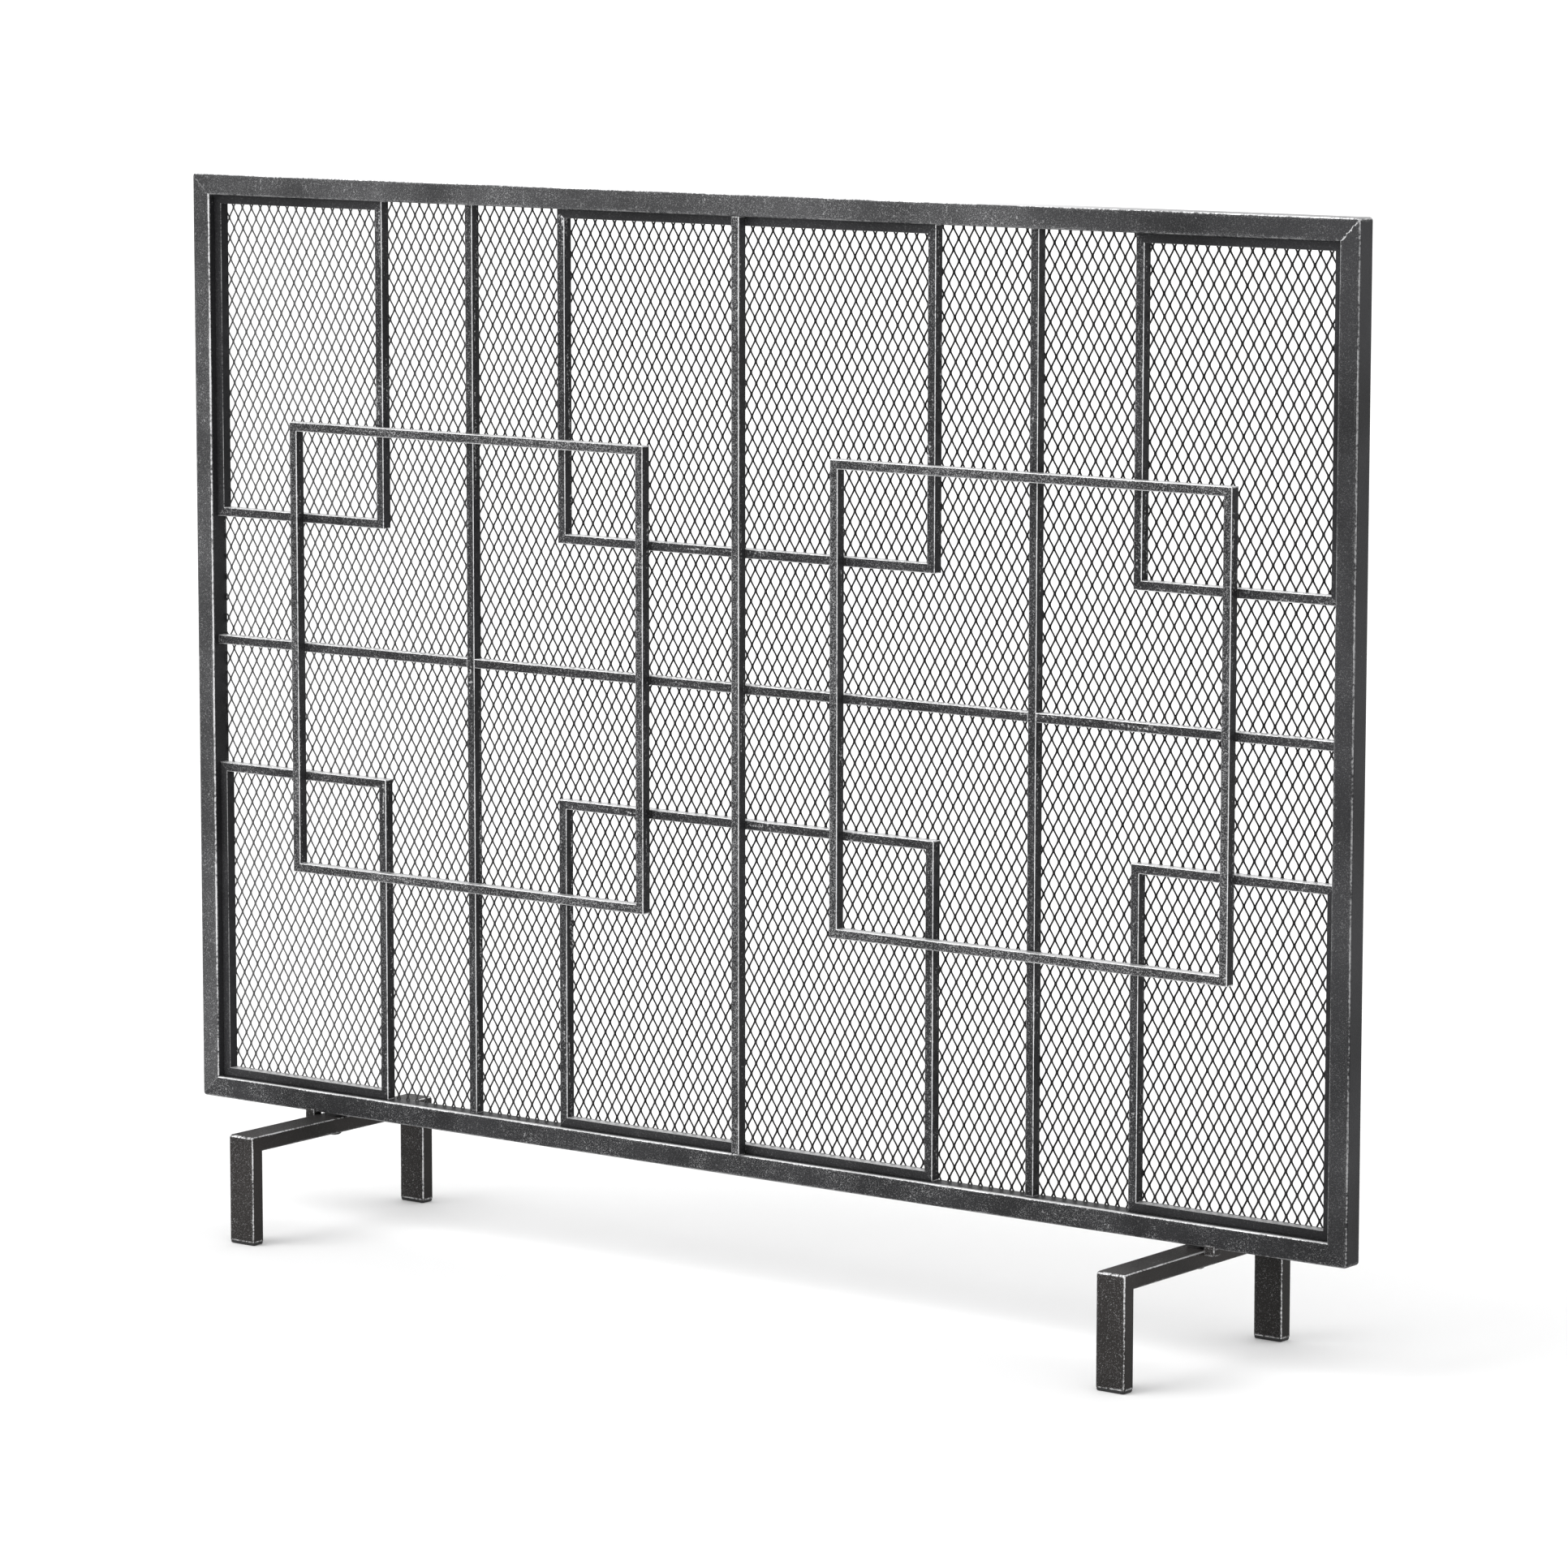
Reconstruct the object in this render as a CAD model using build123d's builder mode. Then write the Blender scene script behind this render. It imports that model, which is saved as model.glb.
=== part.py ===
"""Single-panel fireplace screen: welded tube frame, two-layer bar lattice, mesh and two bolted feet.

Frame of reference, in millimetres: the floor is Z = 0, X runs along the screen's width, -Y is the
room side, and the origin is on the floor in the middle between the four legs.
"""
import os

from build123d import *

# ---- Driving dimensions ------------------------------------------------------------------------
# Outer frame: four mitred square-cornered tubes
frame_width = 965.0
frame_height = 660.0
ground_clearance = 79.0        # floor to the underside of the frame
tube_face = 15.0               # tube width seen from the front
tube_depth = 16.0              # front to back
tube_wall = 1.5
tube_corner = 1.8
frame_outer_radius = 2.5       # dressed outer corners of the frame, seen from the front

# Lattice bars
bar_face = 6.35                # bar width seen from the front
bar_depth = 7.9                # front to back
bar_corner = 0.7

# Where the lattice stands in the frame
corner_rect_width = 154.5      # rectangle in each corner, outside its bars
centre_rect_width = 315.0      # rectangle at the middle of the top and bottom
border_rect_height = 227.0     # height of all six border rectangles
front_rect_width = 314.0       # large rectangles laid over the front of the lattice
front_rect_height = 318.0

# Mesh panel behind the bars
mesh_thickness = 0.6
mesh_recess = 1.75             # back of the frame to the back of the panel

# Feet: an inverted U of flat tube under each end of the frame
foot_spacing = 730.6           # between the middles of the two feet
foot_length = 194.3            # front to back
foot_face = 21.9               # foot tube width, along X
foot_thickness = 11.0          # foot tube thickness
foot_wall = 1.2
foot_corner = 1.5
foot_outer_radius = 2.5        # dressed corner where a leg meets the crossbar
frame_setback = 1.9            # middle of the frame, behind the middle of the feet

# Plastic glides in the ends of the legs
glide_plate = 2.4              # visible thickness under the leg
glide_inset = 0.2              # glide outline inside the leg's outline
glide_edge = 1.4
glide_plug_length = 10.0
glide_plug_clearance = 0.1     # each side, in the leg's bore

# M6 screw up through each crossbar into a flanged rivet nut in the bottom tube
screw_radius = 3.0
screw_engagement = 7.0         # length of the screw beyond the nut's flange
screw_head_radius = 5.5
screw_head_height = 3.0
screw_head_dome = 2.4
screw_socket_radius = 2.3      # across the corners of the hexagon
screw_socket_depth = 1.8
screw_clearance = 0.3          # radial, in the crossbar's holes
thread_clearance = 0.03
nut_flange = 2.0               # also the gap between crossbar and frame
nut_flange_radius = 6.5
nut_body_radius = 4.5
nut_body_height = 9.0          # inside the tube, from the underside of the frame
nut_bulge_height = 2.5
nut_hole_clearance = 0.05

# Stop lug welded to the bottom tube against the outer side of each crossbar
lug_width = 7.9                # along X
lug_depth = 8.0                # front to back, with the lip
lug_height = 4.7               # under the frame
lug_lip_thickness = 1.05       # in front of the frame
lug_lip_height = 2.0           # up the front of the frame

# ---- Places worked out from them ---------------------------------------------------------------
frame_bottom = ground_clearance
frame_top = frame_bottom + frame_height
frame_middle = (frame_bottom + frame_top) / 2
half_width = frame_width / 2
frame_front = frame_setback - tube_depth / 2
frame_back = frame_setback + tube_depth / 2
inner_half_width = half_width - tube_face
inner_bottom = frame_bottom + tube_face
inner_top = frame_top - tube_face

mesh_front = frame_back - mesh_recess - mesh_thickness
lattice_front = mesh_front - bar_depth
overlay_front = lattice_front - bar_depth

corner_rect_inner = inner_half_width - corner_rect_width
upright_x = (corner_rect_inner + centre_rect_width / 2) / 2
rail_low = frame_middle - bar_face / 2
rail_high = frame_middle + bar_face / 2

crossbar_top = frame_bottom - nut_flange
crossbar_bottom = crossbar_top - foot_thickness
half_foot = foot_length / 2
foot_places = {"left": -foot_spacing / 2, "right": foot_spacing / 2}
screw_places = [(x, frame_setback) for x in foot_places.values()]

screw_length = foot_thickness + nut_flange + screw_engagement
nut_bulge_radius = (nut_body_radius + tube_depth / 2 - tube_wall) / 2

SIDES = ["bottom", "right", "top", "left"]

os.makedirs("parts", exist_ok=True)


def save(piece, name):
    """Label one finished piece and write it as its own file."""
    piece.part.label = name
    export_step(piece.part, f"parts/{name}.step")


def mitred_side(side, low, high, near, far):
    """Four corners of one mitred side of the rectangle low-high, between two insets from it."""
    rings = []
    for inset in (near, far):
        left, right = low[0] + inset, high[0] - inset
        bottom, top = low[1] + inset, high[1] - inset
        rings.append([(left, bottom), (right, bottom), (right, top), (left, top)])
    first = SIDES.index(side)
    second = (first + 1) % len(SIDES)
    return [rings[0][first], rings[0][second], rings[1][second], rings[1][first]]


def long_axis(side):
    """Direction in which one side of an upright rectangle runs."""
    return Axis.X if side in ("top", "bottom") else Axis.Z


def box_between(low, high):
    """Corners of a plain rectangle."""
    return [low, (high[0], low[1]), high, (low[0], high[1])]


# ---- Outer frame -------------------------------------------------------------------------------
frame_low = (-half_width, frame_bottom)
frame_high = (half_width, frame_top)
for side in SIDES:
    with BuildPart() as frame_tube:
        with BuildSketch(Plane.XZ.offset(-frame_front)):
            Polygon(*mitred_side(side, frame_low, frame_high, 0, tube_face), align=None)
            with Locations((0, frame_middle)):
                RectangleRounded(frame_width, frame_height, frame_outer_radius, mode=Mode.INTERSECT)
        extrude(amount=-tube_depth)
        fillet(frame_tube.edges().filter_by(long_axis(side)), radius=tube_corner)
        with BuildSketch(Plane.XZ.offset(-frame_front - tube_wall)):
            bore = mitred_side(side, frame_low, frame_high, tube_wall, tube_face - tube_wall)
            Polygon(*bore, align=None)
        extrude(amount=-(tube_depth - 2 * tube_wall), mode=Mode.SUBTRACT)
        if side == "bottom":
            with BuildSketch(Plane.XY.offset(frame_bottom)):
                with Locations(*screw_places):
                    Circle(nut_body_radius + nut_hole_clearance)
            extrude(amount=tube_wall, mode=Mode.SUBTRACT)
    save(frame_tube, f"frame_{side}_tube")


# ---- Lattice of bars ---------------------------------------------------------------------------
def lattice_bar(name, corners, front, axis):
    """One solid bar: its outline seen from the front, its front face and the way it runs."""
    with BuildPart() as bar:
        with BuildSketch(Plane.XZ.offset(-front)):
            Polygon(*corners, align=None)
        extrude(amount=-bar_depth)
        fillet(bar.edges().filter_by(axis), radius=bar_corner)
    save(bar, name)


def bar_rectangle(name, low, high, front):
    """Four mitred bars round the rectangle low-high."""
    for side in SIDES:
        corners = mitred_side(side, low, high, 0, bar_face)
        lattice_bar(f"{name}_{side}_bar", corners, front, long_axis(side))


# Six border rectangles: one in each corner and one at the middle of the top and bottom
border_levels = {
    "upper": (inner_top - border_rect_height, inner_top),
    "lower": (inner_bottom, inner_bottom + border_rect_height),
}
border_columns = {
    "corner_{}_left": (-inner_half_width, -corner_rect_inner),
    "centre_{}": (-centre_rect_width / 2, centre_rect_width / 2),
    "corner_{}_right": (corner_rect_inner, inner_half_width),
}
for level, (low_z, high_z) in border_levels.items():
    for column, (low_x, high_x) in border_columns.items():
        bar_rectangle(column.format(level), (low_x, low_z), (high_x, high_z), lattice_front)

# Full-height uprights between the border rectangles
for hand, middle in (("left", -upright_x), ("right", upright_x)):
    corners = box_between((middle - bar_face / 2, inner_bottom), (middle + bar_face / 2, inner_top))
    lattice_bar(f"upright_{hand}", corners, lattice_front, Axis.Z)

# Middle rail, in three lengths between the frame and the uprights
rail_spans = {
    "left": (-inner_half_width, -upright_x - bar_face / 2),
    "centre": (-upright_x + bar_face / 2, upright_x - bar_face / 2),
    "right": (upright_x + bar_face / 2, inner_half_width),
}
for hand, (low_x, high_x) in rail_spans.items():
    corners = box_between((low_x, rail_low), (high_x, rail_high))
    lattice_bar(f"middle_rail_{hand}", corners, lattice_front, Axis.X)

# Overlay: a full-height centre upright and two large rectangles on the front of the lattice
corners = box_between((-bar_face / 2, inner_bottom), (bar_face / 2, inner_top))
lattice_bar("centre_upright", corners, overlay_front, Axis.Z)
for hand, middle in (("left", -upright_x), ("right", upright_x)):
    low = (middle - front_rect_width / 2, frame_middle - front_rect_height / 2)
    high = (middle + front_rect_width / 2, frame_middle + front_rect_height / 2)
    bar_rectangle(f"front_{hand}", low, high, overlay_front)

# ---- Mesh panel, as a plain sheet that fills the frame's opening -------------------------------
with BuildPart() as mesh_panel:
    with BuildSketch(Plane.XZ.offset(-mesh_front)):
        mesh_low = (-inner_half_width, inner_bottom)
        mesh_high = (inner_half_width, inner_top)
        Polygon(*box_between(mesh_low, mesh_high), align=None)
    extrude(amount=-mesh_thickness)
save(mesh_panel, "mesh_panel")


# ---- Feet --------------------------------------------------------------------------------------
def mitred_leg(side, low, high, near, far):
    """As mitred_side, but a leg ends square on the level of low instead of in a mitre."""
    corners = mitred_side(side, low, high, near, far)
    if side == "top":
        return corners
    middle_z = (low[1] + high[1]) / 2
    return [(y, z if z > middle_z else low[1]) for y, z in corners]


def foot_tube(name, side, middle):
    """One mitred tube of a foot, seen from the side: its crossbar on top or one of its legs."""
    low = (-half_foot, glide_plate)
    high = (half_foot, crossbar_top)
    plane = Plane.YZ.offset(middle)
    axis = Axis.Y if side == "top" else Axis.Z
    with BuildPart() as tube:
        with BuildSketch(plane):
            Polygon(*mitred_leg(side, low, high, 0, foot_thickness), align=None)
            with Locations((0, crossbar_top - foot_length / 2)):
                RectangleRounded(foot_length, foot_length, foot_outer_radius, mode=Mode.INTERSECT)
        extrude(amount=foot_face / 2, both=True)
        fillet(tube.edges().filter_by(axis), radius=foot_corner)
        with BuildSketch(plane):
            bore = mitred_leg(side, low, high, foot_wall, foot_thickness - foot_wall)
            Polygon(*bore, align=None)
        extrude(amount=foot_face / 2 - foot_wall, both=True, mode=Mode.SUBTRACT)
        if side == "top":
            with BuildSketch(Plane.XY.offset(crossbar_bottom)):
                with Locations((middle, frame_setback)):
                    Circle(screw_radius + screw_clearance)
            extrude(amount=foot_thickness, mode=Mode.SUBTRACT)
    save(tube, name)


def glide(name, middle, leg_y):
    """Glide: a plate under the leg with a plug up its bore."""
    with BuildPart() as piece:
        with BuildSketch(Plane.XY):
            with Locations((middle, leg_y)):
                RectangleRounded(foot_face - 2 * glide_inset, foot_thickness - 2 * glide_inset, foot_corner)
        extrude(amount=glide_plate)
        fillet(piece.faces().sort_by(Axis.Z)[0].edges(), radius=glide_edge)
        with BuildSketch(Plane.XY.offset(glide_plate)):
            with Locations((middle, leg_y)):
                gap = 2 * (foot_wall + glide_plug_clearance)
                Rectangle(foot_face - gap, foot_thickness - gap)
        extrude(amount=glide_plug_length)
    save(piece, name)


leg_sides = {"front": ("left", -half_foot + foot_thickness / 2),
             "rear": ("right", half_foot - foot_thickness / 2)}
for hand, middle in foot_places.items():
    foot_tube(f"{hand}_foot_crossbar", "top", middle)
    for end, (side, leg_y) in leg_sides.items():
        foot_tube(f"{hand}_foot_{end}_leg", side, middle)
        glide(f"{hand}_{end}_glide", middle, leg_y)

# Stop lugs: each a block under the frame with a lip up the front of the bottom tube
lug_front = frame_front - lug_lip_thickness
lug_block = box_between((lug_front, frame_bottom - lug_height), (lug_front + lug_depth, frame_bottom))
lug_lip = box_between((lug_front, frame_bottom), (frame_front, frame_bottom + lug_lip_height))
for hand, middle in foot_places.items():
    outward = 1 if middle > 0 else -1
    with BuildPart() as lug:
        with BuildSketch(Plane.YZ.offset(middle + outward * foot_face / 2)):
            Polygon(*lug_block, align=None)
            Polygon(*lug_lip, align=None)
        extrude(amount=outward * lug_width)
        fillet(lug.edges().filter_by(Axis.Z).group_by(Axis.Y)[0], radius=bar_corner)
    save(lug, f"{hand}_foot_stop_lug")

# ---- Fasteners ---------------------------------------------------------------------------------
screw_planes = [Plane.XY.offset(crossbar_bottom).move(Location((x, y, 0))) for x, y in screw_places]
with BuildPart() as foot_screws:
    for seat in screw_planes:
        with BuildSketch(seat):
            Circle(screw_head_radius)
        head = extrude(amount=-screw_head_height)
        rim = head.edges().filter_by(GeomType.CIRCLE).sort_by(Axis.Z)[0]
        fillet(rim, radius=screw_head_dome)
        with BuildSketch(seat):
            Circle(screw_radius)
        extrude(amount=screw_length)
        with BuildSketch(seat.offset(-screw_head_height)):
            RegularPolygon(screw_socket_radius, 6)
        extrude(amount=screw_socket_depth, mode=Mode.SUBTRACT)
save(foot_screws, "foot_screws")

nut_steps = [
    (nut_flange_radius, -nut_flange, 0),
    (nut_body_radius, 0, nut_body_height),
    (nut_bulge_radius, tube_wall, tube_wall + nut_bulge_height),
]
with BuildPart() as foot_rivet_nuts:
    for step_radius, step_low, step_high in nut_steps:
        with BuildSketch(Plane.XY.offset(frame_bottom + step_low)):
            with Locations(*screw_places):
                Circle(step_radius)
        extrude(amount=step_high - step_low)
    with BuildSketch(Plane.XY.offset(frame_bottom - nut_flange)):
        with Locations(*screw_places):
            Circle(screw_radius + thread_clearance)
    extrude(amount=nut_flange + nut_body_height, mode=Mode.SUBTRACT)
save(foot_rivet_nuts, "foot_rivet_nuts")
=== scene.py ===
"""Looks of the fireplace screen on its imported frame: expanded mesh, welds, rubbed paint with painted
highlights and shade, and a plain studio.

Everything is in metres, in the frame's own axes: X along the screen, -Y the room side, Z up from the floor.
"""
import functools
import itertools
import math
import random
from typing import NamedTuple

import bpy
from mathutils import Matrix, Vector


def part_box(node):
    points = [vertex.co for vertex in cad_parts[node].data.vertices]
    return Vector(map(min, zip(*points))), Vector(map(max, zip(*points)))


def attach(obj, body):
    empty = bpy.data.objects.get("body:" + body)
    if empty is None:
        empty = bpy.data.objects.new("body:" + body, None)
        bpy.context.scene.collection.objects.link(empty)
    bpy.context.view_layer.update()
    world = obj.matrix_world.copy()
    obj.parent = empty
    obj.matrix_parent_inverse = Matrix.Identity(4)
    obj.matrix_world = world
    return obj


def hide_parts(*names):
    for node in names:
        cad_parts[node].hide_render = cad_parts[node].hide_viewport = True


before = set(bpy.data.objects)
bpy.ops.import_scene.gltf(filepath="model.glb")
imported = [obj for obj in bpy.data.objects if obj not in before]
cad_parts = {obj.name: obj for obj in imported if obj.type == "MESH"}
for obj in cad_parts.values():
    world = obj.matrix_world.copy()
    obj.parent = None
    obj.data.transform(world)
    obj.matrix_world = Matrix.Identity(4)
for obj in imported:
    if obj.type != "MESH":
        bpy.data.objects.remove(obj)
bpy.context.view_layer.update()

MM = 0.001
random.seed(41)

# ---- Sizes of the expanded mesh ----------------------------------------------------------------
MESH_PITCH = 8.35 * MM          # between neighbouring knots of one row
MESH_ROW_PITCH = 14.55 * MM     # between rows of knots in step with each other
MESH_LEAN = -0.0275             # sideways drift of the columns for each metre of height
MESH_FIRST_KNOT = (2.4 * MM, 0.3 * MM)   # of one knot, from the middle of the panel
MESH_BURIED = 0.9 * MM          # of each strand's cut end, inside the frame's wall
MESH_PARTS = 5                  # pieces that share the strands
STRAND_WIDTH = 1.24 * MM
STRAND_THICKNESS = 0.80 * MM
STRAND_TILT = math.radians(28)  # of the strands' section, out of the panel's plane
STRAND_STEPS = (0.0, 0.32, 0.68, 1.0)    # where a strand has sections, from one knot to the next
STRAND_BOW = 0.26               # share of a strand's sideways move that eases in and out
KNOT_LENGTH = 1.3 * MM
SPARE_COLUMNS = 4               # beyond the panel on each side, since the columns lean
SPARE_ROWS = 2

# ---- Sizes of the tack welds -------------------------------------------------------------------
TACK_RADIUS = 1.15 * MM
TACK_INSET = 0.7 * MM           # from the ends of the crossing
TACK_SHORTEST = 2.8 * MM        # crossing that takes a weld
TACK_RINGS = 9
TACK_SIDES = 8
TACK_END = 0.06                 # share of the length at which the ends stop narrowing
TACK_BLUNTNESS = 0.45           # power of the swell: less is blunter
TACK_RIPPLE = 0.14              # share of the radius
TACK_RIPPLES = 2.75             # waves along a bead
TACK_UNEVEN = 0.07              # random share of the radius

# ---- Values of the rubbed paint and of the highlights and shade painted on it ------------------
# silver of the rubbed steel, also used for the painted highlights
SILVER_AND_HIGHLIGHT = (0.90, 0.90, 0.91)
SILVER_METALLIC = 0.85
PAINT_ROUGHNESS = (0.32, 0.48)
PAINT_SPECULAR = 0.10
PAINT_RELIEF = 0.3 * MM
EDGE_SAMPLES = 6                # rays that round a normal
REAR_MARGIN = 2.4 * MM          # of upper faces, kept dark along their back as painted shade
REAR_MARGIN_CORE = 0.6          # share of it that is darkest
# share of the painted highlight left in that margin
REAR_MARGIN_HIGHLIGHT = 0.12
STRETCH = {"X": (0.06, 1, 1), "Y": (1, 0.06, 1), "Z": (1, 1, 0.06)}   # draws wear out along a piece

# noises: features for each metre, detail and roughness
CLOUD = (12.0, 3.0, 0.5)
PATCH = (60.0, 3.0, 0.6)
WEAR = (240.0, 4.0, 0.65)
SPECK = (620.0, 2.0, 0.6)
GRAIN = (1500.0, 2.0, 0.7)

# spans of a noise's usual values, for a soft and for a firmer change
SOFT = (0.30, 0.70)
FIRM = (0.35, 0.65)
PATCH_SPAN = (0.34, 0.66)
WEAR_SPAN = (0.30, 0.52)

# spans of one part of a face's own normal, from not yet looking that way to looking that way
LOOKS_LEFT = (-0.15, -0.75)
LOOKS_DOWN = (-0.05, -0.60)
LOOKS_UP = (0.40, 0.85)
LOOKS_BACK = (0.50, 0.80)
LOOKS_ACROSS = (0.35, 0.95)     # to the room or back

# the same of the normal that is rounded near edges
TURNS_RIGHT = (0.10, 0.50)
TURNS_BACK = (0.02, 0.35)
LEAVES_FRONT = (-0.25, -0.02)

# spans that tell edges: greatest part of a normal on a rounding, agreement of the two normals beside an
# edge, and least part of the rounded normal at a mitre
ON_ROUNDING = (0.98, 0.86)
BESIDE_EDGE = (0.998, 0.86)
AT_MITRE = (0.02, 0.10)

# how edges wear, and which of them are kept darker as painted shade
WEAR_WEIGHT = 2.2
SPECK_WEIGHT = 1.8
HOLD_SPAN = 0.7                 # from paint that holds to paint that is gone
KEPT_EDGE_RUB = 0.10            # share left on edges at the back, and on edges that look left, which are kept darker as painted shade
BACK_FACE_RUB = 0.8             # share of it on the faces at the back

# how fronts and upper faces wear, and where their painted highlight and shade go
SHADED_SIDE_SHARE = 0.10                 # share of a front's silver on the other sides, which are kept dark as painted shade
CLOUD_FLECKS = 0.6              # share of the flecks where clouds are thin
CLOUD_HAZE = (0.7, 1.2)         # share of the haze where clouds are thin and thick
GRAIN_FLECK_SPAN = (0.0, 0.10)  # above a finish's own rarity
SPECK_FLECK_SPAN = (0.07, 0.14)
CREST_GAPS = 0.9                # share of an upper face's painted highlight where wear is least
FRONT_FADE = (0.18, 0.38)       # places on X between which the silver fades towards the right-hand end, as painted shade of the light falling off
# the same, for edges that turn to the right: painted shade
EDGE_FADE = (0.30, 0.46)

# ground welds over the frame's mitres
SEAM_WIDTH = 0.8 * MM
SEAM_CORE = 0.3                 # share of the width that is full silver
SEAM_WANDER = 3.2 * MM
SEAM_WOBBLE = (330.0, 2.0, 0.6)
SEAM_SPECK_SPAN = (0.30, 0.55)
SEAM_GAPS = 0.25                # share left where specks are least
SEAM_FACES = (-0.5, -0.95)      # part of the normal on Y of the faces that show them
# how plain each of them is: right or left, top or bottom
SEAM_SHARES = {(1, 1): 0.75, (-1, 1): 0.22, (1, -1): 0.0, (-1, -1): 0.16}

# ---- Values of the other finishes --------------------------------------------------------------
BROAD_SCALE = 0.08              # of the broad noise of a grained finish, beside its fine one
FINE_SHARE = 0.6                # of the tone, beside the broad noise
ROUGHNESS_SWING = 0.07
MESH_PAINTED_LIGHT_SPAN = (-0.50, -0.08)  # places on X, from the paler left-hand end, a painted highlight of the light from the left, to the plain paint
MESH_TONE = (150.0, 3.0, 0.6)
MESH_GRAIN = (900.0, 2.0, 0.6)
MESH_ROUGHNESS = (0.38, 0.52)
MESH_METALLIC = 0.2
MESH_SPECULAR = 0.12
MESH_RELIEF = 0.1 * MM

# ---- Camera ------------------------------------------------------------------------------------
CAMERA_PLACE = Vector((2.5880, -3.3913, 0.9518))
CAMERA_YAW = math.radians(36.974)      # turned left from the screen's normal
CAMERA_PITCH = math.radians(8.092)     # downward
CAMERA_ROLL = math.radians(0.056)
CAMERA_LENS = 147.95
CAMERA_SENSOR = 36.0

# ---- Studio ------------------------------------------------------------------------------------
FLOOR_SIZE = 240.0
FLOOR_WHITE = 0.93
FLOOR_SHADE = 0.985             # of the white, where the paper is darkest
FLOOR_CLOUD_SCALE = 3.0
FLOOR_ROUGHNESS = 0.9
FLOOR_SPECULAR = 0.1
WORLD_STRENGTH = 1.09
KEY_STRENGTH = 1.04
KEY_SOFTNESS = math.radians(38)
KEY_FROM = Vector((-0.60, -0.86, 1.15))


# ---- Small helpers for node materials ----------------------------------------------------------
class Shader:
    """A node material being put together, with short calls for the nodes that it needs."""

    def __init__(self, name):
        self.material = bpy.data.materials.new(name)
        self.material.use_nodes = True
        self.tree = self.material.node_tree
        self.surface = self.tree.nodes["Principled BSDF"]

    def node(self, kind, **settings):
        made = self.tree.nodes.new(kind)
        for key, value in settings.items():
            setattr(made, key, value)
        return made

    def join(self, source, target):
        """Plug a socket into another, or set the other to a plain value."""
        if isinstance(source, bpy.types.NodeSocket):
            self.tree.links.new(source, target)
        else:
            target.default_value = source

    def math(self, operation, first, second=0.0, clamp=False):
        made = self.node("ShaderNodeMath", operation=operation, use_clamp=clamp)
        self.join(first, made.inputs[0])
        self.join(second, made.inputs[1])
        return made.outputs[0]

    def chain(self, operation, *values, clamp=False):
        """A two-value operation over several values in turn."""
        return functools.reduce(lambda first, second: self.math(operation, first, second, clamp), values)

    def times(self, *values):
        return self.chain("MULTIPLY", *values)

    def size(self, value):
        """The value without its sign."""
        return self.math("ABSOLUTE", value)

    def step(self, value, low, high, to_low=0.0, to_high=1.0):
        """Smooth step of value from low to high, given out between to_low and to_high."""
        made = self.node("ShaderNodeMapRange", interpolation_type="SMOOTHSTEP")
        self.join(value, made.inputs["Value"])
        span = {"From Min": low, "From Max": high, "To Min": to_low, "To Max": to_high}
        for key, number in span.items():
            made.inputs[key].default_value = number
        return made.outputs["Result"]

    def place(self, stretch=(1, 1, 1)):
        """The object's own coordinates, stretched."""
        source = self.node("ShaderNodeTexCoord").outputs["Object"]
        mapping = self.node("ShaderNodeMapping")
        self.join(source, mapping.inputs["Vector"])
        mapping.inputs["Scale"].default_value = stretch
        return mapping.outputs["Vector"]

    def noise(self, vector, scale, detail=2.0, roughness=0.5):
        made = self.node("ShaderNodeTexNoise")
        self.join(vector, made.inputs["Vector"])
        made.inputs["Scale"].default_value = scale
        made.inputs["Detail"].default_value = detail
        made.inputs["Roughness"].default_value = roughness
        return made.outputs["Fac"]

    def blend(self, factor, first, second):
        """Mix of two colours, each a socket or three numbers."""
        made = self.node("ShaderNodeMix", data_type="RGBA")
        self.join(factor, made.inputs["Factor"])
        for value, socket in ((first, made.inputs["A"]), (second, made.inputs["B"])):
            self.join(value if isinstance(value, bpy.types.NodeSocket) else (*value, 1.0), socket)
        return made.outputs["Result"]

    def bump(self, height, distance, strength=0.6):
        made = self.node("ShaderNodeBump")
        made.inputs["Strength"].default_value = strength
        made.inputs["Distance"].default_value = distance
        self.join(height, made.inputs["Height"])
        self.join(made.outputs["Normal"], self.surface.inputs["Normal"])

    def parts(self, vector):
        """The X, Y and Z of a vector."""
        split = self.node("ShaderNodeSeparateXYZ")
        self.join(vector, split.inputs["Vector"])
        return split.outputs["X"], split.outputs["Y"], split.outputs["Z"]


# ---- Rubbed paint of the steel, with painted highlights and shade ------------------------------
class Look(NamedTuple):
    """How one group of steel pieces is rubbed and how highlights and shade are painted on it, as shares from
    0 to 1 unless it says otherwise.
    """
    haze: float             # even silver on front faces
    fleck: float            # silver in the flecks of front faces
    sparse: float           # how rare the flecks are
    edge: float             # silver on edges
    ridge: float            # silver on upper faces, a painted highlight of the light from above
    reach: float            # how far from an edge the rub goes, in metres
    fade: float = 1.0       # what is left at the right-hand end of the screen, as painted shade of the light falling off
    deep: float = 1.0       # what is left of that painted highlight on an upper face away from its front edge
    blotch: float = 0.6     # flecks left where they are fewest
    under: float = 0.25     # what is left on lower edges, which are kept darker as painted shade
    hold: float = 2.55      # how well the paint holds on edges: little is rubbed off above 3
    seams: bool = False     # whether the ground welds of the frame's corners show
    dark: tuple = (0.012, 0.012, 0.013)
    light: tuple = (0.024, 0.024, 0.026)


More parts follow.
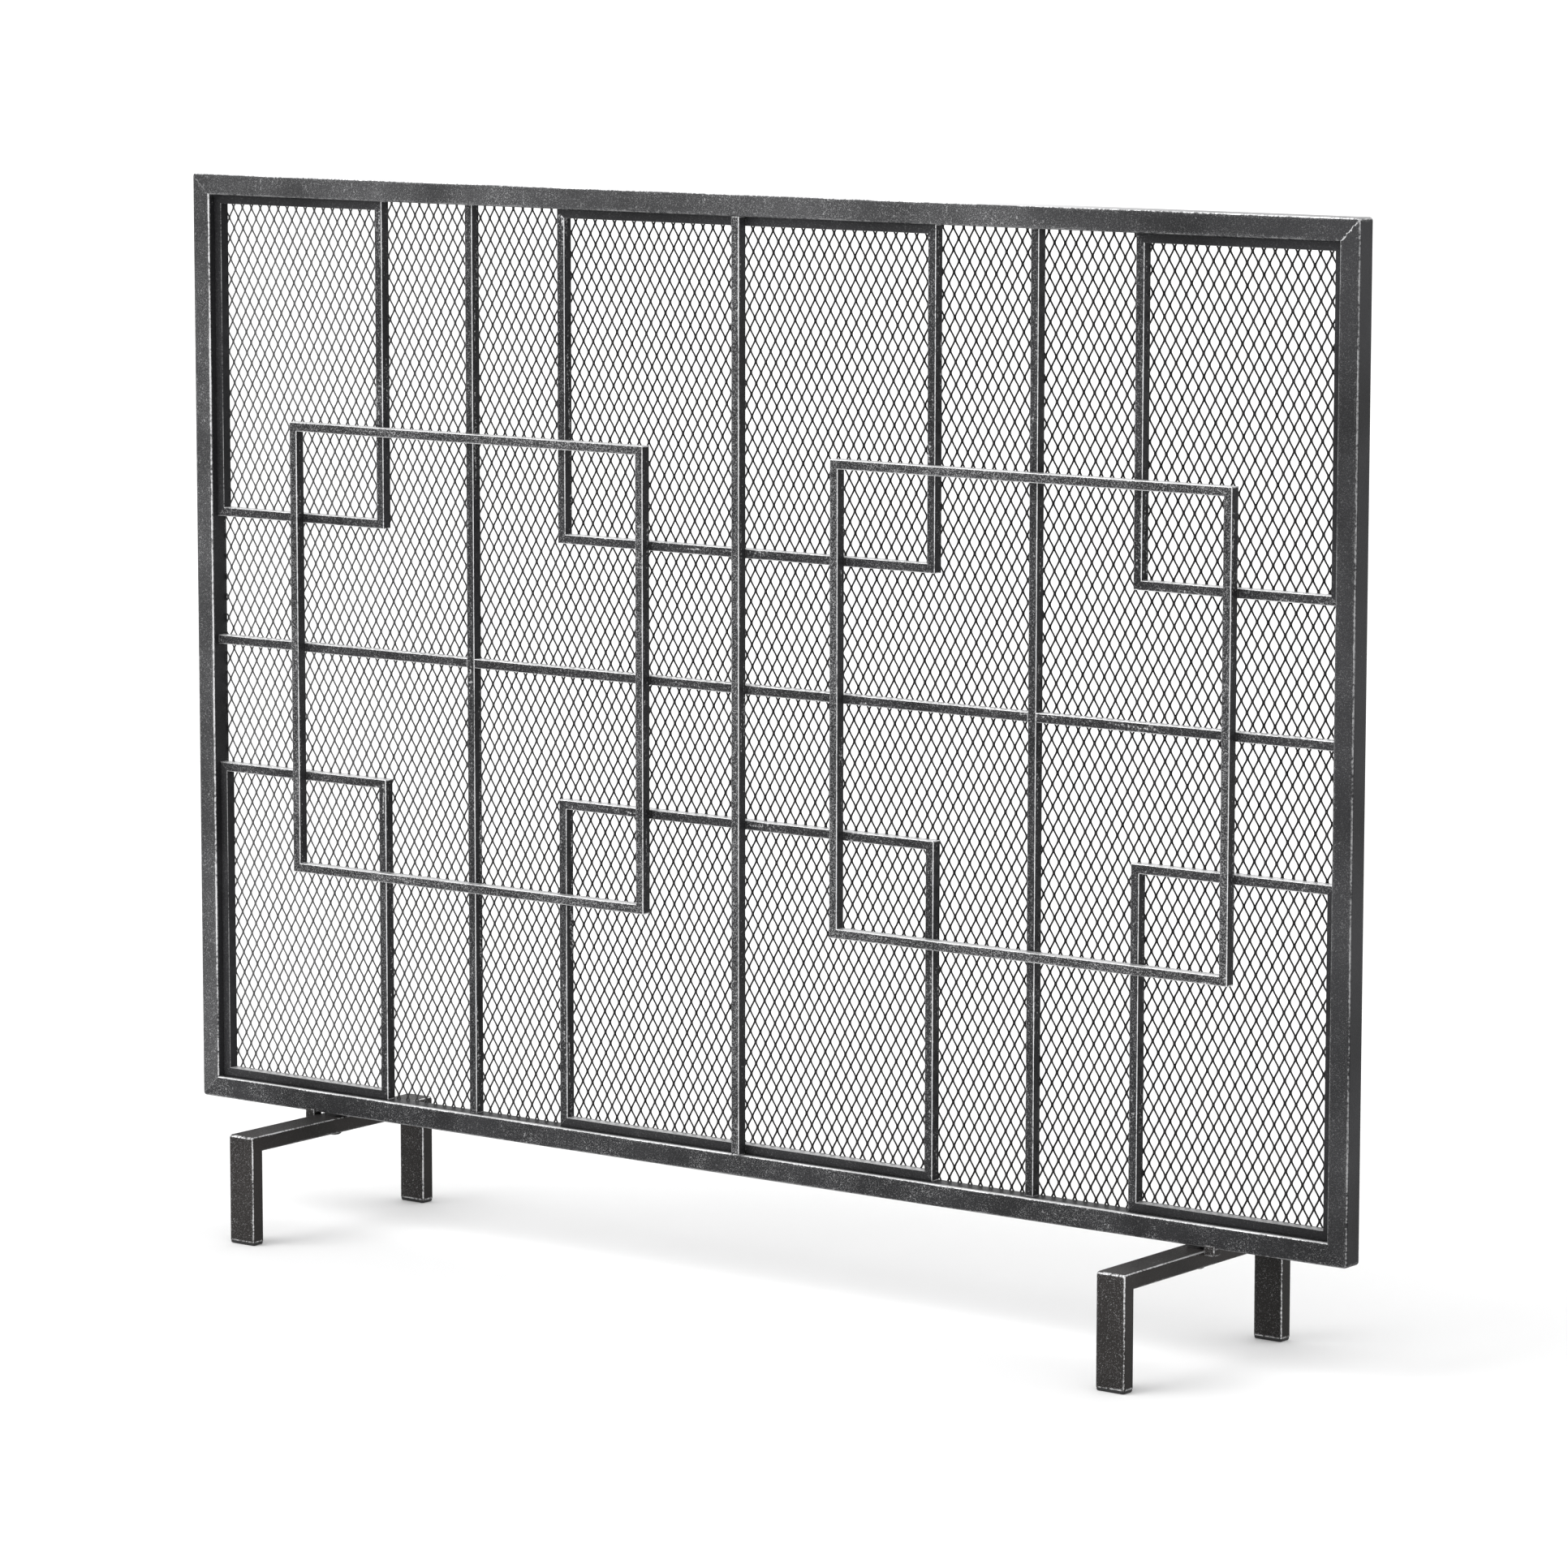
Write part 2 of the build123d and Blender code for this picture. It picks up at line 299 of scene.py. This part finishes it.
class RubbedPaintAndPaintedLight(Shader):
    """Hammered graphite paint, rubbed to silver on edges and, in flecks, on front faces, with a painted
    highlight of silver on upper faces. Side faces, edges that look left or down and the right-hand end keep
    more dark paint as painted shade.
    """

    def __init__(self, name, look, along, rear):
        """along is the axis that the piece runs along, and rear is where its back is."""
        super().__init__(name)
        self.look, self.rear = look, rear
        self.spot = self.place()
        self.x, self.y, self.z = self.parts(self.spot)
        self.cloud, self.patch = self.noise(self.spot, *CLOUD), self.noise(self.spot, *PATCH)
        self.grain, self.speck = self.noise(self.spot, *GRAIN), self.noise(self.spot, *SPECK)
        self.wear = self.noise(self.place(STRETCH[along]), *WEAR)
        # painted shade: the silver fades from left to right, where the light falls off
        self.rightward = self.step(self.x, *FRONT_FADE, 1.0, look.fade)

        self.normal = self.node("ShaderNodeNewGeometry").outputs["Normal"]
        self.facing = self.parts(self.normal)
        bevel = self.node("ShaderNodeBevel", samples=EDGE_SAMPLES)
        bevel.inputs["Radius"].default_value = look.reach
        self.rounded = bevel.outputs["Normal"]
        self.turned = self.parts(self.rounded)

        # silver of wear on fronts, edges and seams, and a painted highlight on upper faces, each shaped by
        # painted shade
        silver = [self.fronts(), self.edges(), self.crests()]
        if look.seams:
            silver.append(self.seams())
        self.colour(self.chain("MAXIMUM", *silver, clamp=True))

    def near_edge(self):
        """How near an edge is, from 0 to 1.

        On its rounding the normal lies between axes, and beside it the rounded normal turns away. At a mitre
        that turns towards two axes at once, and counts for nothing, since the seam was ground flush.
        """
        on_rounding = self.step(self.chain("MAXIMUM", *map(self.size, self.facing)), *ON_ROUNDING)
        agreement = self.node("ShaderNodeVectorMath", operation="DOT_PRODUCT")
        self.join(self.rounded, agreement.inputs[0])
        self.join(self.normal, agreement.inputs[1])
        beside = self.step(agreement.outputs["Value"], *BESIDE_EDGE)
        no_mitre = self.step(self.chain("MINIMUM", *map(self.size, self.turned)), *AT_MITRE, 1.0, 0.0)
        return self.math("MAXIMUM", on_rounding, self.times(beside, no_mitre))

    def edges(self):
        """Silver on edges. Edges that look left or down keep more dark paint as painted shade, edges at the
        back keep their paint, and the silver fades towards the right-hand end as painted shade.
        """
        look = self.look
        rub = self.chain("ADD", self.near_edge(), self.times(self.wear, WEAR_WEIGHT),
                         self.times(self.speck, SPECK_WEIGHT))
        worn = self.step(rub, look.hold, look.hold + HOLD_SPAN)
        # painted shade: less silver on edges that look left or down, and towards the right-hand end
        left = self.step(self.facing[0], *LOOKS_LEFT, 1.0, KEPT_EDGE_RUB)
        lower = self.step(self.facing[2], *LOOKS_DOWN, 1.0, look.under)
        rear_edge = self.step(self.turned[1], *TURNS_BACK, 1.0, KEPT_EDGE_RUB)
        rear_face = self.step(self.facing[1], *LOOKS_BACK, 0.0, BACK_FACE_RUB)
        far_right = self.times(self.step(self.turned[0], *TURNS_RIGHT),
                               self.step(self.x, *EDGE_FADE, 0.0, 1.0 - look.fade))
        return self.times(worn, look.edge, left, lower, self.math("MAXIMUM", rear_edge, rear_face),
                          self.math("SUBTRACT", 1.0, far_right))

    def fronts(self):
        """Silver on faces that look to the room or back: an even haze, and flecks in patches. The other sides
        keep most of their dark paint as painted shade.
        """
        look = self.look
        # painted shade: faces that look sideways get little of the silver
        across = self.step(self.size(self.facing[1]), *LOOKS_ACROSS, SHADED_SIDE_SHARE, 1.0)
        fine, coarse = (
            self.step(noise, look.sparse + low, look.sparse + high)
            for noise, (low, high) in ((self.grain, GRAIN_FLECK_SPAN), (self.speck, SPECK_FLECK_SPAN))
        )
        flecks = self.times(self.math("MAXIMUM", fine, coarse), look.fleck,
                            self.step(self.patch, *PATCH_SPAN, look.blotch, 1.0),
                            self.step(self.cloud, *FIRM, CLOUD_FLECKS, 1.0))
        haze = self.times(self.step(self.cloud, *SOFT, *CLOUD_HAZE), look.haze)
        return self.times(across, self.rightward, self.math("ADD", haze, flecks))

    def crests(self):
        """Painted highlight of silver on faces that look up, with painted shade in a dark margin along their
        back.
        """
        look = self.look
        # painted highlight: upper faces are painted silver for the light from above, and their back margin
        # dark as painted shade
        upper = self.step(self.facing[2], *LOOKS_UP)
        gaps = self.step(self.wear, *WEAR_SPAN, CREST_GAPS, 1.0)
        depth = self.step(self.turned[1], *LEAVES_FRONT, 1.0, look.deep)
        margin = self.step(self.y, self.rear - REAR_MARGIN, self.rear - REAR_MARGIN * REAR_MARGIN_CORE,
                           1.0, REAR_MARGIN_HIGHLIGHT)
        return self.times(upper, gaps, look.ridge, self.rightward, depth, margin)

    def seams(self):
        """Silver of the wandering weld lines over the frame's mitres, on the faces that look to the room."""
        insets = [self.math("SUBTRACT", half, self.size(self.math("SUBTRACT", value, middle)))
                  for value, middle, half in ((self.x, frame_middle.x, frame_half.x),
                                              (self.z, frame_middle.z, frame_half.z))]
        wander = self.times(self.math("SUBTRACT", self.noise(self.spot, *SEAM_WOBBLE), 0.5), SEAM_WANDER * 2)
        off = self.size(self.math("ADD", self.math("SUBTRACT", *insets), wander))
        line = self.step(off, SEAM_WIDTH * SEAM_CORE, SEAM_WIDTH, 1.0, 0.0)
        gaps = self.step(self.speck, *SEAM_SPECK_SPAN, SEAM_GAPS, 1.0)
        right = self.math("GREATER_THAN", self.x, frame_middle.x)
        top = self.math("GREATER_THAN", self.z, frame_middle.z)
        sides = {1: right, -1: self.math("SUBTRACT", 1.0, right)}
        levels = {1: top, -1: self.math("SUBTRACT", 1.0, top)}
        share = self.chain("ADD", *(self.times(sides[side], levels[level], amount)
                                    for (side, level), amount in SEAM_SHARES.items()))
        return self.times(line, gaps, share, self.step(self.facing[1], *SEAM_FACES))

    def colour(self, silver):
        """Plug in the paint, and the silver of wear and of painted highlight on it."""
        paint = self.blend(self.step(self.cloud, *SOFT), self.look.dark, self.look.light)
        self.join(self.blend(silver, paint, SILVER_AND_HIGHLIGHT), self.surface.inputs["Base Color"])
        self.join(self.times(silver, SILVER_METALLIC), self.surface.inputs["Metallic"])
        self.join(self.step(self.grain, *SOFT, *PAINT_ROUGHNESS), self.surface.inputs["Roughness"])
        self.join(PAINT_SPECULAR, self.surface.inputs["Specular IOR Level"])
        self.bump(self.grain, PAINT_RELIEF, 0.5)


# ---- Other finishes ----------------------------------------------------------------------------
def plain_grain(name, dark, light, scale, roughness, metallic=0.0, relief=0.08 * MM, specular=0.4):
    """A finish with fine grain: two tones, with roughness and relief from the same noise."""
    s = Shader(name)
    place = s.place()
    fine, broad = s.noise(place, scale, 3.0, 0.6), s.noise(place, scale * BROAD_SCALE, 2.0)
    tone = s.step(s.math("ADD", s.times(fine, FINE_SHARE), s.times(broad, 1 - FINE_SHARE)), *FIRM)
    s.join(s.blend(tone, dark, light), s.surface.inputs["Base Color"])
    s.join(s.step(fine, *SOFT, roughness - ROUGHNESS_SWING, roughness + ROUGHNESS_SWING),
           s.surface.inputs["Roughness"])
    s.join(metallic, s.surface.inputs["Metallic"])
    s.join(specular, s.surface.inputs["Specular IOR Level"])
    s.bump(fine, relief)
    return s.material


def mesh_paint(name, dark, light, painted_lit_dark, painted_lit_light):
    """Satin graphite of the mesh, in two tones, with its left-hand end painted paler as painted light."""
    s = Shader(name)
    place = s.place()
    tone, grain = s.step(s.noise(place, *MESH_TONE), *FIRM), s.noise(place, *MESH_GRAIN)
    # painted light: the strands are painted paler towards the left-hand end, where the light falls on them;
    # 'rubbed' holds that painted light
    leftward = s.step(s.parts(place)[0], *MESH_PAINTED_LIGHT_SPAN, 1.0, 0.0)
    coat, rubbed = s.blend(tone, dark, light), s.blend(tone, painted_lit_dark, painted_lit_light)
    s.join(s.blend(leftward, coat, rubbed), s.surface.inputs["Base Color"])
    s.join(s.step(grain, *SOFT, *MESH_ROUGHNESS), s.surface.inputs["Roughness"])
    s.join(MESH_METALLIC, s.surface.inputs["Metallic"])
    s.join(MESH_SPECULAR, s.surface.inputs["Specular IOR Level"])
    s.bump(grain, MESH_RELIEF)
    return s.material


glide_black = plain_grain("glide_plastic", (0.010, 0.010, 0.010), (0.022, 0.022, 0.022), scale=900.0,
                          roughness=0.55)
screw_black = plain_grain("screw_black", (0.014, 0.014, 0.014), (0.028, 0.028, 0.029), scale=1400.0,
                          roughness=0.42, metallic=0.2, specular=0.15)
nut_black = plain_grain("rivet_nut_black", (0.03, 0.03, 0.03), (0.06, 0.06, 0.06), scale=1800.0,
                        roughness=0.35, metallic=0.5)
weld_dark = plain_grain("weld_beads", (0.010, 0.010, 0.010), (0.045, 0.045, 0.046), scale=900.0,
                        roughness=0.40, metallic=0.2, relief=0.1 * MM, specular=0.15)
# the last two tones are the painted light of the mesh's left-hand end
mesh_dark = mesh_paint("mesh_finish", (0.006, 0.0056, 0.0056), (0.030, 0.028, 0.028),
                       painted_lit_dark=(0.09, 0.09, 0.09), painted_lit_light=(0.17, 0.17, 0.17))


# ---- Finish of the CAD nodes -------------------------------------------------------------------
LOOKS = {
    "frame": Look(haze=0.040, fleck=0.30, sparse=0.54, edge=0.85, ridge=0.95, reach=3.0 * MM,
                  fade=0.35, blotch=0.45, seams=True),
    "sill": Look(haze=0.009, fleck=0.40, sparse=0.555, edge=0.80, ridge=0.95, reach=2.6 * MM,
                 fade=0.8, deep=0.02, blotch=0.2, seams=True),
    "overlay": Look(haze=0.014, fleck=0.46, sparse=0.535, edge=1.0, ridge=1.0, reach=1.5 * MM,
                    blotch=0.75, under=0.9, hold=2.30),
    "lattice": Look(haze=0.008, fleck=0.28, sparse=0.55, edge=1.0, ridge=1.0, reach=1.2 * MM,
                    under=0.9, hold=2.25),
    "border": Look(haze=0.010, fleck=0.08, sparse=0.56, edge=0.35, ridge=0.60, reach=1.0 * MM, fade=0.6),
    "foot": Look(haze=0.006, fleck=0.26, sparse=0.58, edge=0.75, ridge=0.02, reach=2.2 * MM,
                 dark=(0.012, 0.011, 0.010), light=(0.024, 0.021, 0.020)),
}
UNRUBBED = {"_glide": glide_black, "_screws": screw_black, "_nuts": nut_black, "mesh_panel": mesh_dark}
BESIDE_FRAME = ("left_left_bar", "right_right_bar", "upper_top_bar", "upper_left_top_bar",
                "upper_right_top_bar", "lower_bottom_bar", "lower_left_bottom_bar", "lower_right_bottom_bar")


def is_steel(node):
    """Whether a node has the rubbed paint."""
    return not node.endswith(tuple(UNRUBBED))


def look_of(node):
    """Which rubbed look a steel node has."""
    if node.startswith("frame_"):
        return "sill" if node == "frame_bottom_tube" else "frame"
    if "_foot_" in node:
        return "foot"
    if node.startswith("front_") or node == "centre_upright":
        return "overlay"
    return "border" if node.endswith(BESIDE_FRAME) else "lattice"


def long_axis(node):
    """The axis along which a node is longest."""
    low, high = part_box(node)
    size = high - low
    return "XYZ"[max(range(3), key=lambda i: size[i])]


frame_low, frame_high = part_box("frame_left_tube")[0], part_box("frame_right_tube")[1]
frame_middle = (frame_low + frame_high) / 2
frame_half = (frame_high - frame_low) / 2
rears = {look_of(node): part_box(node)[1].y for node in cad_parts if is_steel(node)}


@functools.cache
def rubbed_paint_and_painted_light(kind, axis):
    """The rubbed paint of one kind of piece that runs along an axis."""
    return RubbedPaintAndPaintedLight(f"{kind}_{axis.lower()}", LOOKS[kind], axis, rears[kind]).material


def material_of(node):
    """The finish of a CAD node."""
    for ending, material in UNRUBBED.items():
        if node.endswith(ending):
            return material
    return rubbed_paint_and_painted_light(look_of(node), long_axis(node))


def finish_nodes():
    """Give every CAD node its finish."""
    for node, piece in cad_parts.items():
        piece.data.materials.clear()
        piece.data.materials.append(material_of(node))


# ---- Pieces ------------------------------------------------------------------------------------
def add_object(name, points, faces, material):
    """A mesh object in the scene."""
    mesh = bpy.data.meshes.new(name)
    mesh.from_pydata(points, [], faces)
    mesh.update()
    mesh.materials.append(material)
    made = bpy.data.objects.new(name, mesh)
    bpy.context.scene.collection.objects.link(made)
    return made


def add_piece(name, points, faces, material):
    """A mesh object that rides on the part."""
    piece = add_object(name, points, faces, material)
    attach(piece, "root")
    return piece


# ---- Expanded mesh -----------------------------------------------------------------------------
# Strips run upward in zigzag and meet their neighbours at knots. At a knot the left-hand strip lies behind
# and the right-hand one in front, so every strand also slants through the thickness.
def eased(t):
    """Share of the sideways move at share t of a strand: a gentle S."""
    return (1 - STRAND_BOW) * t + STRAND_BOW * t * t * (3 - 2 * t)


def strip_rings(column, rows, middle, middle_y):
    """Middle points of the sections of one zigzag strip, from bottom to top."""
    half_pitch, half_row = MESH_PITCH / 2, MESH_ROW_PITCH / 2
    across, back = (STRAND_WIDTH / 2 * part for part in (math.cos(STRAND_TILT), math.sin(STRAND_TILT)))
    base_x = middle.x + MESH_FIRST_KNOT[0] + column * half_pitch
    knots = []
    for row in rows:
        right = (column + row) % 2 == 1
        x = base_x + (half_pitch - across if right else across)
        knots.append((x, back if right else -back, middle.z + MESH_FIRST_KNOT[1] + row * half_row))
    rings = []
    for (x0, y0, z0), (x1, y1, z1) in itertools.pairwise(knots):
        foot, head = z0 + KNOT_LENGTH / 2, z1 - KNOT_LENGTH / 2
        for t in STRAND_STEPS:
            share = eased(t)
            z = foot + (head - foot) * t
            x = x0 + (x1 - x0) * share + MESH_LEAN * (z - middle.z)
            rings.append((x, middle_y + (y0 + (y1 - y0) * share), z))
    return rings


def strand_section():
    """Corners of a strand's section, which tilts out of the panel's plane, and its depth at a knot."""
    cosine, sine = math.cos(STRAND_TILT), math.sin(STRAND_TILT)
    wide = (STRAND_WIDTH / 2 * cosine, -STRAND_WIDTH / 2 * sine)
    thick = (STRAND_THICKNESS / 2 * sine, STRAND_THICKNESS / 2 * cosine)
    corners = [(a * wide[0] + b * thick[0], a * wide[1] + b * thick[1])
               for a, b in ((-1, -1), (1, -1), (1, 1), (-1, 1))]
    return corners, 2 * STRAND_WIDTH * sine + STRAND_THICKNESS * cosine


def add_strip(points, faces, rings, section):
    """Add one closed strip with the section at each of the rings."""
    first = len(points)
    for x, y, z in rings:
        points += [(x + dx, y + dy, z) for dx, dy in section]
    last = len(points) - 4
    for a in range(first, last, 4):
        faces += [(a + i, a + (i + 1) % 4, a + 4 + (i + 1) % 4, a + 4 + i) for i in range(4)]
    faces.append((first + 3, first + 2, first + 1, first))
    faces.append((last, last + 1, last + 2, last + 3))


def expanded_mesh():
    """All strands, as a few pieces that stand for the plain sheet."""
    section, depth = strand_section()
    panel_low, panel_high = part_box("mesh_panel")
    middle, middle_y = (panel_low + panel_high) / 2, panel_low.y + depth / 2
    low_x, high_x = panel_low.x - MESH_BURIED, panel_high.x + MESH_BURIED
    low_z, high_z = panel_low.z - MESH_BURIED, panel_high.z + MESH_BURIED
    side_columns = int((high_x - low_x) / MESH_PITCH) + SPARE_COLUMNS
    side_rows = int((high_z - low_z) / MESH_ROW_PITCH) + SPARE_ROWS
    columns = range(-side_columns, side_columns + 1)
    rows = range(-side_rows, side_rows + 1)
    share = math.ceil(len(columns) / MESH_PARTS)

    def in_panel(ring):
        return low_x < ring[0] < high_x and low_z < ring[2] < high_z

    for part in range(MESH_PARTS):
        points, faces = [], []
        for column in columns[part * share:(part + 1) * share]:
            for inside, run in itertools.groupby(strip_rings(column, rows, middle, middle_y), in_panel):
                if inside:
                    add_strip(points, faces, run, section)
        piece = add_piece(f"expanded_mesh_{part + 1}", points, faces, mesh_dark)
        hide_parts("mesh_panel")


# ---- Tack welds where a bar of the overlay crosses a bar of the lattice --------------------------
def add_tack(points, faces, start, end, side, out):
    """Add one rippled bead from start to end, in the corner between faces that look along side and out."""
    first = len(points)
    for i in range(TACK_RINGS):
        t = i / (TACK_RINGS - 1)
        swell = math.sin(math.pi * min(max(t, TACK_END), 1 - TACK_END)) ** TACK_BLUNTNESS
        ripple = TACK_RIPPLE * math.sin(2 * math.pi * TACK_RIPPLES * t)
        radius = TACK_RADIUS * swell * (1 + ripple + random.uniform(-TACK_UNEVEN, TACK_UNEVEN))
        for k in range(TACK_SIDES):
            turn = 2 * math.pi * k / TACK_SIDES
            points.append(start + (end - start) * t + (side * math.cos(turn) + out * math.sin(turn)) * radius)
            if i:
                a, b = first + (i - 1) * TACK_SIDES, first + i * TACK_SIDES
                beyond = (k + 1) % TACK_SIDES
                faces.append((a + k, a + beyond, b + beyond, b + k))
    last = first + (TACK_RINGS - 1) * TACK_SIDES
    faces.append(tuple(range(first + TACK_SIDES - 1, first - 1, -1)))
    faces.append(tuple(range(last, last + TACK_SIDES)))


def crossings():
    """Where an overlay bar lies over a lattice bar: whether it is upright, its box and the lattice bar's."""
    steel = [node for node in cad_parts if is_steel(node)]
    over = [node for node in steel if look_of(node) == "overlay"]
    under = [node for node in steel if look_of(node) in ("lattice", "border")]
    for node, other in itertools.product(over, under):
        if long_axis(node) != long_axis(other):
            yield long_axis(node) == "Z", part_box(node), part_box(other)


def tack_welds():
    """Beads at both sides of upright overlay bars, and below the level ones."""
    points, faces = [], []
    room = Vector((0, -1, 0))
    for upright, (low, high), (other_low, other_high) in crossings():
        along, across = (2, 0) if upright else (0, 2)
        near, far = max(low[along], other_low[along]), min(high[along], other_high[along])
        crosses = other_low[across] <= low[across] and other_high[across] >= high[across]
        if far - near < TACK_SHORTEST or not crosses:
            continue
        for sign in ((-1, 1) if upright else (-1,)):
            start, end, side = Vector((0, high.y, 0)), Vector((0, high.y, 0)), Vector((0, 0, 0))
            start[along], end[along] = near + TACK_INSET, far - TACK_INSET
            start[across] = end[across] = high[across] if sign > 0 else low[across]
            side[across] = sign
            add_tack(points, faces, start, end, side, room)
    piece = add_piece("tack_welds", points, faces, weld_dark)
    piece.data.polygons.foreach_set("use_smooth", [True] * len(faces))


# ---- Studio and camera -------------------------------------------------------------------------
def studio_floor():
    """Plain pale paper under the screen."""
    half = FLOOR_SIZE / 2
    corners = [(-half, -half, 0), (half, -half, 0), (half, half, 0), (-half, half, 0)]
    paper = Shader("studio_paper")
    tone = paper.step(paper.noise(paper.place(), FLOOR_CLOUD_SCALE), *SOFT)
    paper.join(paper.blend(tone, (FLOOR_WHITE * FLOOR_SHADE,) * 3, (FLOOR_WHITE,) * 3),
               paper.surface.inputs["Base Color"])
    paper.join(FLOOR_ROUGHNESS, paper.surface.inputs["Roughness"])
    paper.join(FLOOR_SPECULAR, paper.surface.inputs["Specular IOR Level"])
    add_object("studio_floor", corners, [(0, 1, 2, 3)], paper.material)


def studio_light():
    """Even light from all round, and a broad soft key from the left of the room side."""
    scene = bpy.context.scene
    scene.view_settings.view_transform = "Standard"
    world = bpy.data.worlds.new("studio_world")
    world.use_nodes = True
    background = world.node_tree.nodes["Background"]
    background.inputs["Color"].default_value = (1, 1, 1, 1)
    background.inputs["Strength"].default_value = WORLD_STRENGTH
    scene.world = world

    key = bpy.data.lights.new("key_light", "SUN")
    key.energy, key.angle = KEY_STRENGTH, KEY_SOFTNESS
    lamp = bpy.data.objects.new("key_light", key)
    lamp.rotation_euler = KEY_FROM.to_track_quat("Z", "Y").to_euler()
    scene.collection.objects.link(lamp)


def camera():
    """The photograph's view."""
    scene = bpy.context.scene
    data = bpy.data.cameras.new("camera")
    data.lens, data.sensor_width = CAMERA_LENS, CAMERA_SENSOR
    data.clip_end = FLOOR_SIZE
    made = bpy.data.objects.new("camera", data)
    turn = Matrix.Rotation(CAMERA_YAW, 4, "Z") @ Matrix.Rotation(math.pi / 2 - CAMERA_PITCH, 4, "X")
    made.matrix_world = Matrix.Translation(CAMERA_PLACE) @ turn @ Matrix.Rotation(CAMERA_ROLL, 4, "Z")
    scene.collection.objects.link(made)
    scene.camera = made


finish_nodes()
expanded_mesh()
tack_welds()
studio_floor()
studio_light()
camera()
